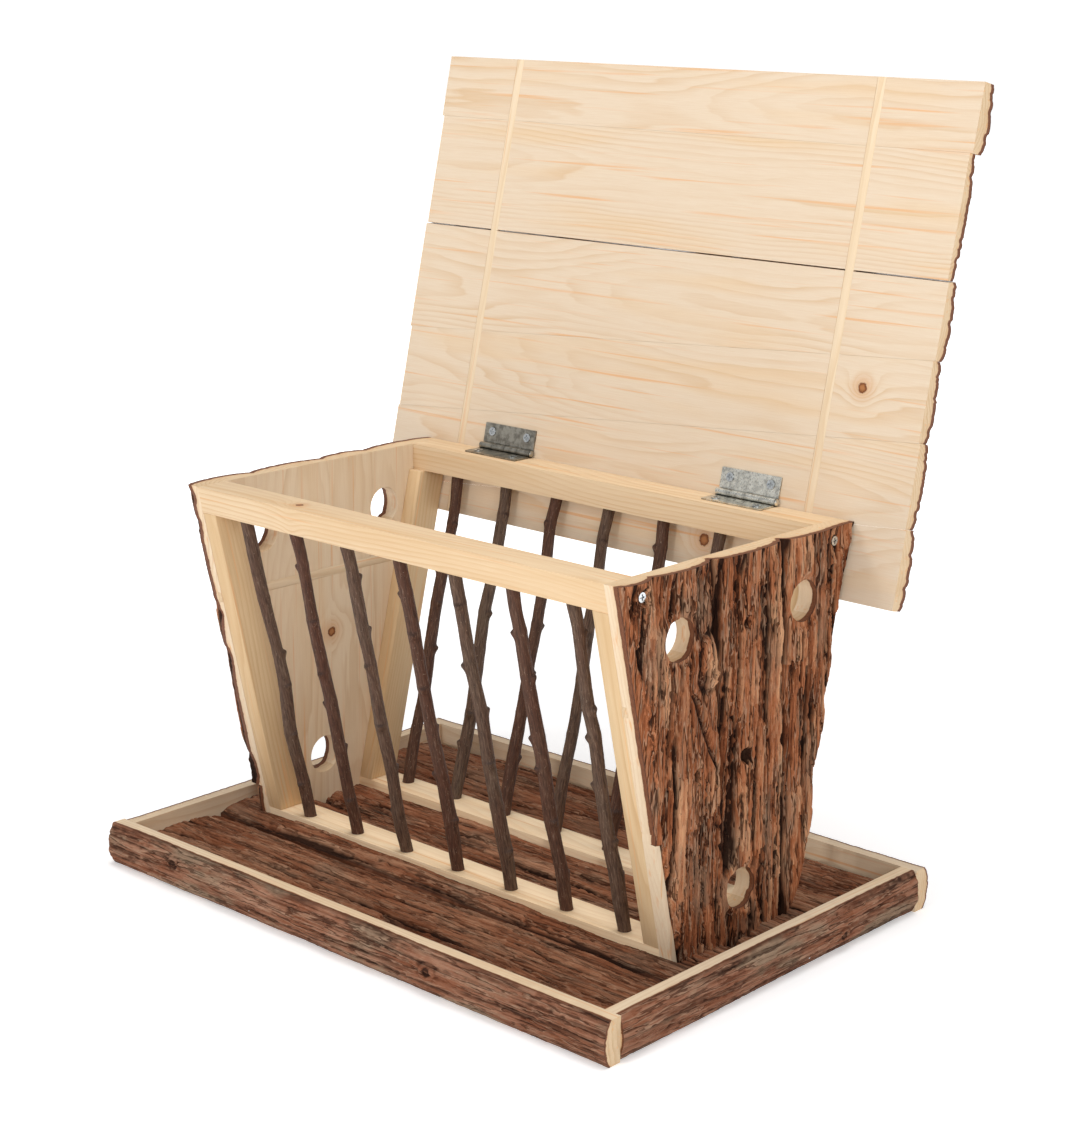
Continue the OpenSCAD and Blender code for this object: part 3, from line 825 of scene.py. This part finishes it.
# The lid's pine, darkened with painted shade.
LID_PINE_PAINTED_SHADE = pine("lid_pine", LID_PALE_PAINTED_SHADE, LINE, DEEP)
PINE_END = pine("pale_pine_end", rgb(224, 198, 162), rgb(192, 152, 110), rgb(208, 174, 132))
KEY = pine("key_pine", rgb(233, 212, 182), rgb(212, 178, 134), rgb(224, 196, 158), strength=0.5)
HONEY_SHADES = (rgb(230, 204, 168), rgb(206, 164, 118), rgb(216, 180, 134))
HONEY = pine("honey_pine", *HONEY_SHADES, strength=0.6)
# Darker honey pine for the posts: partly their tanner wood, partly painted shade.
POST_TAN_AND_SHADE = pine("post_pine", rgb(222, 193, 152), rgb(196, 154, 106), rgb(206, 168, 120), strength=0.6)
# Honey pine lightened for the bottom rails: painted light against the shade they sit in.
HONEY_PAINTED_LIGHT = pine("pale_honey_pine", rgb(247, 223, 188), rgb(226, 188, 142), rgb(238, 204, 160))
PANEL_BARK_LOOK = bark(
    "panel_bark", rgb(126, 72, 44), rgb(176, 108, 71), rgb(214, 160, 120), rgb(150, 124, 101),
    rgb(34, 17, 11), 1.0, 0.5)
FLOOR_BARK_LOOK = bark(
    "floor_bark", rgb(110, 65, 43), rgb(150, 97, 69), rgb(186, 138, 107), rgb(134, 108, 88),
    rgb(46, 25, 16), 0.6)
RAIL_BARK_LOOK = bark(
    "rail_bark", rgb(126, 80, 59), rgb(161, 111, 86), rgb(184, 142, 116), rgb(152, 138, 115),
    rgb(60, 37, 27), 0.8, 0.6)
TWIG = twig_skin("twig_bark")
ZINC = plain_metal("zinc_steel", rgb(236, 235, 226), rgb(198, 197, 189), 0.22, 0.4)
GREY = plain_metal("grey_steel", rgb(176, 172, 161), rgb(134, 130, 121), 0.28, 0.46)
BRIGHT = plain_metal("bright_zinc", rgb(224, 228, 230), rgb(196, 202, 206), 0.2, 0.35)


# ---------- Tray ----------

SLABS = (1, 2, 3, 4)
RAIL_EDGE = 9.2
RAIL_CROWN = 13.1
FRONT_RAIL_KNOTS = [(79, 15, 8), (-145, 17, 6)]
OTHER_RAIL_KNOTS = [(60, 10, 6)]
TRAY_RAILS = {
    "tray_front_rail": (Y, -1, X),
    "tray_back_rail": (Y, 1, -X),
    "tray_left_rail": (X, -1, -Y),
    "tray_right_rail": (X, 1, Y),
}


def rail_place(node, axis, side, along):
    """Frame of a tray rail; its sawn face is the side towards the tray's middle."""
    inner = low_corner(node) if side > 0 else high_corner(node)
    return Place(axis * (inner @ axis), along, Z)


def rail_marks(knots):
    """Knots in a tray rail's bark, each (u, v, size)."""
    def marks(u, v, height, openness, tone):
        for at_u, at_v, size in knots:
            away = np.hypot((u - at_u) / size, (v - at_v) / (size * 0.7))
            away = away + 0.35 * rough_noise(u / 7, v / 4, 44, 3)
            bump = bump_at(away, 1)
            rings = np.cos(away * 9) * bump
            heart = bump_at(away, 0.25)
            height = height + 1.3 * bump + 0.7 * rings - 0.8 * heart
            # Painted shade in the knot's ring troughs and its sunken heart.
            openness = openness - 0.8 * np.clip(-rings, 0, 1) - 0.6 * heart
            tone = tone + (0.3 * rings - 0.15) * bump
        return height, np.clip(openness, 0, 1), tone
    return marks


def tray_rails():
    for k, (node, (axis, side, along)) in enumerate(TRAY_RAILS.items()):
        place = rail_place(node, axis, side, along)
        knots = FRONT_RAIL_KNOTS if node == "tray_front_rail" else OTHER_RAIL_KNOTS
        marks = rail_marks(knots)
        slab = Slab(node, place, RAIL_EDGE, RAIL_CROWN, RAIL_BARK, 40 + 50 * k, marks)
        obj = slab.build(0.9)
        dress(obj, (RAIL_BARK_LOOK, PINE, PINE_END), "rack", node)


FLOOR_EDGES = (12.5, 15.0, 13.0, 12.5)
FLOOR_CROWNS = (17.0, 18.8, 18.0, 17.5)


def tray_floor():
    """Bark floor, planed under the rack's bottom rails and panels."""
    rails = ["front_bottom_rail", "back_bottom_rail"]
    tools = [hull_tool(cad_points(node), 0.15, WORLD) for node in rails]
    for end in ("left", "right"):
        points = [cad_points(f"{end}_panel_slab_{i}") for i in SLABS]
        tools.append(hull_tool(np.concatenate(points), 0.1, WORLD))
    for i, edge, crown in zip(SLABS, FLOOR_EDGES, FLOOR_CROWNS):
        node = f"tray_floor_slab_{i}"
        slab = Slab(node, WORLD, edge, crown, FLOOR_BARK, 300 + 40 * i)
        obj = slab.build(1.1, tools)
        dress(obj, (FLOOR_BARK_LOOK, PINE, PINE_END), "rack", node)
    drop(tools)


# ---------- End panels ----------

PANEL_EDGE = 9.5
PANEL_CROWN = 14.0
HOLE_RADIUS = 12.5
TOP_HOLES_U = (190, 225)
FOOT_HOLE_U = (30, 70)
FOOT_HOLE_REACH = 18
FLARE = 0.2355
FRONT_FOOT = 48.8
TORN_AT = 92
WORM_HOLES = ((127, 40.5, 3.6), (128, -4.2, 4.6), (130, -39, 3.8), (207, -1, 3.4))
LEFT_KNOT = (131.5, 3, 3.6)


def panel_place(end):
    return Place(X * (end * PANEL_X), Z, -end * Y)


def panel_holes(side, place):
    """(u, v) of a panel's three drilled holes, from the rims in its CAD slabs."""
    sawn = np.concatenate([sawn_face(f"{side}_panel_slab_{i}", place) for i in SLABS])
    u, v = sawn.T
    high = (u > TOP_HOLES_U[0]) & (u < TOP_HOLES_U[1])
    low = (u > FOOT_HOLE_U[0]) & (u < FOOT_HOLE_U[1]) & (np.abs(v) < FOOT_HOLE_REACH)
    rims = [sawn[high & (v < 0)], sawn[high & (v > 0)], sawn[low]]
    return [(rim.min(0) + rim.max(0)) / 2 for rim in rims]


def pit(u, v, at_u, at_v, size_u, size_v):
    """1 inside a steep-walled oval, 0 outside."""
    away = ((u - at_u) / size_u) ** 2 + ((v - at_v) / size_v) ** 2
    return np.exp(-(away**2))


def ridge_line(u, v, start, end, width):
    """1 along the line between two points, fading over width."""
    du, dv = end[0] - start[0], end[1] - start[1]
    t = np.clip(((u - start[0]) * du + (v - start[1]) * dv) / (du * du + dv * dv), 0, 1)
    away = np.hypot(u - start[0] - t * du, v - start[1] - t * dv)
    return bump_at(away, width)


def calm_fan(u, v, height, openness, tone):
    """Smooth ribbed bark that fans out under the right panel's knot."""
    fan = np.hypot((u - 160) / 34, (v - 36 + 0.3 * (160 - u)) / 13)
    calm = 1 - smooth(fan, 0.6, 1.1)
    slope = u * 0.5 + (v - 30) * 1.4
    ribs = 0.5 * noise(slope / 3.2, (u - v) / 14, 93)
    height = toward(height, 12.2 + ribs, calm * 0.75)
    # Painted shade follows the ribs, darker in their troughs.
    openness = toward(openness, 0.85 + 0.4 * ribs, calm * 0.7)
    return height, openness, toward(tone, 0.3 + 0.25 * ribs, calm * 0.7)


def knot_and_scar(u, v, height, openness, tone):
    """The right panel's knot, the scar across it and the valley beside them, with painted shade
    in the valley, along the scar's edge and round the knot.
    """
    knot = np.hypot((u - 191) / 15, (v - 31) / 9)
    inside = np.exp(-(knot**4))
    swirl = rough_noise(u / 7, v / 3.5, 91, 3) * bump_at(knot, 1)
    rim = bump_at(knot - 1.15, 0.16)
    scar = ridge_line(u, v, (178, 42), (118, 14), 1.8)
    edge = ridge_line(u, v, (174, 44.5), (112, 16), 1.3)
    valley = ridge_line(u, v, (245, 25.5), (112, 13.5), 3.6)
    height = height + 3.2 * inside + 2.4 * swirl
    height = height + 1.0 * scar - 2.4 * edge - 4.0 * valley - 1.6 * rim
    # Painted shade in the valley, along the scar's edge and round the knot.
    openness = openness - 0.6 * edge - 0.55 * valley - 0.5 * rim
    tone = tone + inside * (0.35 + 0.9 * swirl) + 0.15 * scar
    return height, openness, tone


def right_marks(u, v, height, openness, tone):
    """Fan, knot, scar, valley, crevice, worm holes and edges of the right panel."""
    height, openness, tone = calm_fan(u, v, height, openness, tone)
    height, openness, tone = knot_and_scar(u, v, height, openness, tone)
    crevice = ridge_line(u, v + 1.5 * noise(u / 25, 0, 97), (247, -36.6), (20, -45.6), 2.4)
    height = height - 3.5 * crevice
    # Painted shade in the crevice.
    openness = openness - 0.85 * crevice
    for at_u, at_v, size in WORM_HOLES:
        hole = pit(u, v, at_u, at_v, size, size * 0.8)
        height = height - 6 * hole
        # Painted shade in each worm hole.
        openness = openness - hole
    return panel_edges(u, v, height, np.clip(openness, 0, 1), tone)


def panel_edges(u, v, height, openness, tone):
    """The right panel's front strip of bark, torn off near the foot, and its thick rear."""
    front = FRONT_FOOT + FLARE * u
    band = smooth(v, front - 5.2, front - 4.4)
    bare = smooth(v, front - 4.3, front - 3.7)
    above = smooth(u, TORN_AT, TORN_AT + 1.5)
    flat = 11.5 - 0.35 * (v - front + 4) + 0.25 * noise(u / 30, v / 2, 96)
    strip = band * above
    height = toward(toward(height, flat, strip), 8.6, band * (1 - above))
    openness = toward(openness, 1, strip) - 2.2 * bare * (1 - above)
    rear = smooth(-v, 34 + FLARE * u, 46 + FLARE * u)
    height = height + 3.4 * rear * smooth(u, 14, 40)
    return height, openness, toward(tone, 0.45, strip)


def panel_marks(end, place):
    """A panel's marks: the right one's own, worn hole rims and pits for the screws."""
    side = "right" if end > 0 else "left"
    holes = panel_holes(side, place)
    low, high = low_corner("panel_screws"), high_corner("panel_screws")
    radius = (high[2] - low[2]) / 2
    at_z = high[2] - radius
    screws = [(at_z, -end * (high[1] - radius)), (at_z, -end * (low[1] + radius))]

    def marks(u, v, height, openness, tone):
        if end > 0:
            height, openness, tone = right_marks(u, v, height, openness, tone)
        for at_u, at_v in holes:
            near = 1 - smooth(np.hypot(u - at_u, v - at_v), 13, 18)
            height = toward(height, 13.0, near * 0.85)
            openness = toward(openness, 1, near * 0.8)
        for (at_u, at_v), rim in zip(screws, (9, 3)):
            away = np.hypot(u - at_u, v - at_v)
            dish = 1 - smooth(away, radius + 1.5, radius + rim)
            near = 1 - smooth(away, radius + 0.3, radius + 1.5)
            height = toward(toward(height, 11.4, dish * 0.8), 10.6, near)
        return height, openness, tone
    return marks


def live_edge(u):
    """The rear slab's bark bulges past its sawn face towards the foot."""
    bulge = 3 + 3.5 * (1 - smooth(u, 50, 110)) + 2.2 * noise(u / 26, 0, 77)
    return bulge * smooth(u, 12, 30) * (1 - smooth(u, 170, 198)), 0 * u


def panel_slabs(end):
    side = "right" if end > 0 else "left"
    place = panel_place(end)
    seed = 600 if end > 0 else 800
    sawn = PINE if end > 0 else pine("pale_pine_knot", WOOD_PALE, LINE, DEEP, [LEFT_KNOT])
    marks = panel_marks(end, place)
    for i in SLABS:
        node = f"{side}_panel_slab_{i}"
        slab = Slab(node, place, PANEL_EDGE, PANEL_CROWN, PANEL_BARK, seed + 40 * i, marks)
        if i == SLABS[-1]:
            slab.spread = live_edge
        tools = panel_tools(side, place)
        obj = slab.build(0.75, tools)
        drop(tools)
        dress(obj, (PANEL_BARK_LOOK, sawn, PINE_END), "rack", node)


def panel_tools(side, place):
    """Drilled holes and the key's groove, as cutting bodies."""
    tools = [groove_tool(f"{side}_panel_key", place)]
    for u, v in panel_holes(side, place):
        tools.append(round_tool(place, u, v, HOLE_RADIUS))
    return tools


# ---------- Bars, posts and keys ----------

EASED = 0.6
PITH_AWAY = 30
PITH_ASIDE = 8
NO_BARK = 50.0
TOP_RAIL_KNOT = (82, -96, 2.6)


def copy_cad(node):
    """Copy of a CAD node's mesh with its sharp edges rounded."""
    shape = bmesh.new()
    shape.from_mesh(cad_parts[node].data)
    bmesh.ops.remove_doubles(shape, verts=shape.verts, dist=0.001 * MM)
    flat = math.radians(1)
    bmesh.ops.dissolve_limit(shape, angle_limit=flat, verts=shape.verts, edges=shape.edges)
    sharp = [e for e in shape.edges if e.is_manifold and e.calc_face_angle() > 0.7]
    bmesh.ops.bevel(
        shape, geom=sharp, offset=EASED * MM, segments=2, affect="EDGES",
        profile=0.5, clamp_overlap=True)
    mesh = bpy.data.meshes.new(node + "_wood")
    shape.to_mesh(mesh)
    shape.free()
    return linked(node + "_wood", mesh)


def wood_attributes(obj, place):
    """Finishes the mesh of a piece without bark, with its pith aside and away from it."""
    mesh, number = obj.data, board_number(obj.name)
    points = place.local(mesh_points(mesh))
    skin = np.full(len(points), NO_BARK)
    put_wood(mesh, points, (0, PITH_ASIDE, PITH_AWAY + 20 * number), skin, number)
    split_faces(mesh, skin, place.axes[0])


def rack_bars():
    """The rack's four rails, grained along X, and its four sloping posts."""
    for side in ("front", "back"):
        # The bottom rails take the honey pine lightened with painted light.
        for level, look in (("top", HONEY), ("bottom", HONEY_PAINTED_LIGHT)):
            node = f"{side}_{level}_rail"
            if node == "front_top_rail":
                at_u, at_y, size = TOP_RAIL_KNOT
                knot = (at_u, at_y - low_corner(node)[1], size)
                look = pine("honey_pine_knot", *HONEY_SHADES, [knot], 0.6)
            obj = copy_cad(node)
            wood_attributes(obj, Place(low_corner(node), X, Y))
            dress(obj, (look, look, PINE_END), "rack", node)
        for end in ("left", "right"):
            node = f"{side}_{end}_post"
            obj = copy_cad(node)
            wood_attributes(obj, Place(low_corner(node), rack_up(node), X))
            # Posts: honey pine darkened, partly tanner wood and partly painted shade.
            dress(obj, (POST_TAN_AND_SHADE, POST_TAN_AND_SHADE, PINE_END), "rack", node)


def key(node, place, body):
    """Flat strip let into a sawn face, with slightly eased edges."""
    points = place.local(cad_points(node))
    low, high = points.min(0), points.max(0)
    obj = hull_tool(corners(low, high), 0, place)
    obj.name = node + "_wood"
    soft = obj.modifiers.new("soft", "BEVEL")
    soft.width = 0.25 * MM
    soft.segments = 2
    bake_modifiers(obj)
    wood_attributes(obj, Place(place.world(low) / MM, place.axes[1], -place.axes[0]))
    dress(obj, (KEY, KEY, PINE_END), body, node)


def keys():
    for end, side in ((-1, "left"), (1, "right")):
        key(f"{side}_panel_key", panel_place(end), "rack")
        key(f"lid_key_{side}", LID_PLACE, "lid")


# ---------- Lid ----------

LID_EDGES = (10.0, 6.0, 7.5, 8.0, 8.0, 9.0)
LID_CROWNS = (12.6, 8.5, 10.5, 11.0, 11.5, 12.0)
BELOW_OPEN_SEAM = 3
SEAM_COVER = 1.02
LID_KNOTS = {4: [(-167.7, 77.6, 3.4)], 6: [(-72, -29, 4.2)]}


def open_seam(u):
    """The open seam under the second slab is closed by bark on the outside."""
    return 0 * u, 0 * u + SEAM_COVER


def lid_slabs():
    for i, (edge, crown) in enumerate(zip(LID_EDGES, LID_CROWNS), 1):
        node = f"lid_slab_{i}"
        slab = Slab(node, LID_PLACE, edge, crown, LID_BARK, 1000 + 40 * i)
        if i == BELOW_OPEN_SEAM:
            slab.spread = open_seam
        tools = [groove_tool(f"lid_key_{side}", LID_PLACE) for side in ("left", "right")]
        obj = slab.build(1.1, tools)
        drop(tools)
        # The lid's sawn faces take pine darkened with painted shade.
        sawn = LID_PINE_PAINTED_SHADE
        if i in LID_KNOTS:
            sawn = pine(f"lid_pine_knot_{i}", LID_PALE_PAINTED_SHADE, LINE, DEEP, LID_KNOTS[i])
        dress(obj, (PANEL_BARK_LOOK, sawn, PINE_END), "lid", node)


# ---------- Twigs ----------

TWIG_RADIUS = 3.9
KNEES = 8


def twig_bends(u, knees, held, seed):
    """Sideways bends of a twig in v and w: straight from knee to knee, then softened."""
    k = np.arange(KNEES)
    bends = []
    for n in (1, 2):
        sway = np.interp(u, knees, 2.6 * (lattice(k, k + 9, seed + n) - 0.5))
        bends.append(held * np.convolve(np.pad(sway, 9, "edge"), np.ones(19) / 19, "valid"))
    return bends


def twig_radius(u, angle, length, knees, held, seed):
    """Radius over (u, angle) with a collar and a bud at each knee, and how dark the scars are."""
    taper = 0.5 * (0.5 - u / length)
    radius = TWIG_RADIUS + held * (taper + 0.3 * noise(u / 45, 0 * u, seed + 4))
    scars = np.zeros_like(radius)
    for n, at in enumerate(knees[1:-1]):
        facing = 2 * math.pi * lattice(np.array([n]), np.array([3]), seed + 6)[0]
        around = np.exp(-(1 - np.cos(angle - facing)) * 9)
        rise = np.where(u < at, bump_at(u - at, 3.4), bump_at(u - at, 1.1))
        radius = radius + held * (0.18 * bump_at(u - at, 2.4) + 1.7 * rise * around)
        scars = np.maximum(scars, 0.8 * bump_at(u - at - 0.8, 0.9) * around**0.4)
    wrinkle = 0.1 * noise(u / 8, angle * 4, seed + 8) + 0.06 * noise(u / 2, angle * 1.6, seed + 9)
    return radius + wrinkle * (0.2 + 0.8 * held), scars


def twig(node, number):
    """Slightly crooked twig between its sockets, with a bend and a bud at each knee."""
    points, up = cad_points(node), rack_up(node)
    along = points @ up
    foot = points[along < along.min() + 0.1].mean(0)
    length = along.max() - along.min()
    seed = 2000 + 23 * number
    rows, columns = int(320 / FINE), int(36 / FINE)
    u = np.linspace(0, length, rows)
    held = smooth(u, 8, 30) * smooth(length - u, 8, 30)
    k = np.arange(KNEES)
    knees = length * (k + 0.55 * lattice(k, k, seed)) / (KNEES - 0.6)
    bend_v, bend_w = twig_bends(u, knees, held, seed)
    turn = np.linspace(0, 2 * math.pi, columns, endpoint=False)
    uu, angle = np.meshgrid(u, turn, indexing="ij")
    radius, scars = twig_radius(uu, angle, length, knees, held[:, None], seed)
    v = bend_v[:, None] + radius * np.cos(angle)
    w = bend_w[:, None] + radius * np.sin(angle)
    shell = np.stack([uu, v, w], axis=2).reshape(-1, 3)
    obj = new_object(node + "_wood", shell, tube_faces(rows, columns), Place(foot, up, X))
    mesh = obj.data
    mesh.shade_smooth()
    put_attribute(mesh, "spot", np.stack([uu, v * 1.2, w * 1.2 + 40 * number], 2), "FLOAT_VECTOR")
    put_attribute(mesh, "open", scars)
    put_attribute(mesh, "board", np.full(rows * columns, board_number(node)))
    dress(obj, (TWIG,), "rack", node)


def twigs():
    for number in range(1, 8):
        twig(f"front_twig_{number}", number)
        twig(f"back_twig_{number}", number + 7)


# ---------- Hinges and fasteners ----------


def metal_parts():
    """CAD hinges and fasteners keep their shape and take steel finishes."""
    for name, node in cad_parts.items():
        if name.startswith("hinge_left"):
            look, slot = GREY, "grey_steel"
        elif name.startswith("hinge_right"):
            look, slot = ZINC, "zinc_steel"
        elif "screws" in name or "nails" in name:
            look, slot = BRIGHT, "zinc_fasteners"
        else:
            continue
        node.data.materials.clear()
        node.data.materials.append(look)


# ---------- Light, floor and camera ----------


def lamp(name, place, target, size, power):
    data = bpy.data.lights.new(name, "AREA")
    data.size = size
    data.energy = power
    obj = linked(name, data)
    obj.location = place
    obj.rotation_euler = (Vector(place) - Vector(target)).to_track_quat("Z", "Y").to_euler()


def white_world(strength):
    """Even white light that the camera sees as pure white."""
    world = bpy.data.worlds.new("studio")
    world.use_nodes = True
    tree = world.node_tree
    light = tree.nodes["Background"]
    light.inputs["Color"].default_value = (1, 1, 1, 1)
    ray = tree.nodes.new("ShaderNodeLightPath")
    level = tree.nodes.new("ShaderNodeMapRange")
    level.inputs["To Min"].default_value = strength
    level.inputs["To Max"].default_value = 1.05
    tree.links.new(ray.outputs["Is Camera Ray"], level.inputs["Value"])
    tree.links.new(level.outputs["Result"], light.inputs["Strength"])
    bpy.context.scene.world = world


def studio():
    white_world(0.44)
    middle = (0, 0, 0.22)
    lamp("key", (-0.35, -3.4, 0.95), middle, 0.3, 20)
    lamp("fill", (1.8, -1.5, 1.1), middle, 1.0, 13.5)
    lamp("top", (0.1, 0.1, 2.2), middle, 1.4, 24)
    bpy.ops.mesh.primitive_plane_add(size=12, location=(0, 0, 0))
    floor = bpy.context.object
    floor.name = "studio_floor"
    floor.data.materials.append(backdrop())


AZIMUTH = 42.42
ELEVATION = 14.49
ROLL = 0.486
DISTANCE = 1.4
TARGET = (0.0247, -0.0040, 0.2151)


def camera():
    """The photo's viewpoint, fitted to the edges of tray, rack and lid."""
    azimuth, elevation, roll = map(math.radians, (AZIMUTH, ELEVATION, ROLL))
    back = Vector((
        math.sin(azimuth) * math.cos(elevation),
        -math.cos(azimuth) * math.cos(elevation),
        math.sin(elevation),
    ))
    data = bpy.data.cameras.new("camera")
    data.lens = 75
    data.sensor_width = 36
    data.clip_start, data.clip_end = 0.05, 60
    obj = linked("camera", data)
    look = (-back).to_track_quat("-Z", "Y").to_matrix().to_4x4()
    eye = Matrix.Translation(Vector(TARGET) + back * DISTANCE)
    obj.matrix_world = eye @ look @ Matrix.Rotation(roll, 4, "Z")
    bpy.context.scene.camera = obj


tray_rails()
tray_floor()
panel_slabs(-1)
panel_slabs(1)
rack_bars()
keys()
lid_slabs()
twigs()
metal_parts()
studio()
camera()
scene = bpy.context.scene
scene.view_settings.view_transform = "Standard"
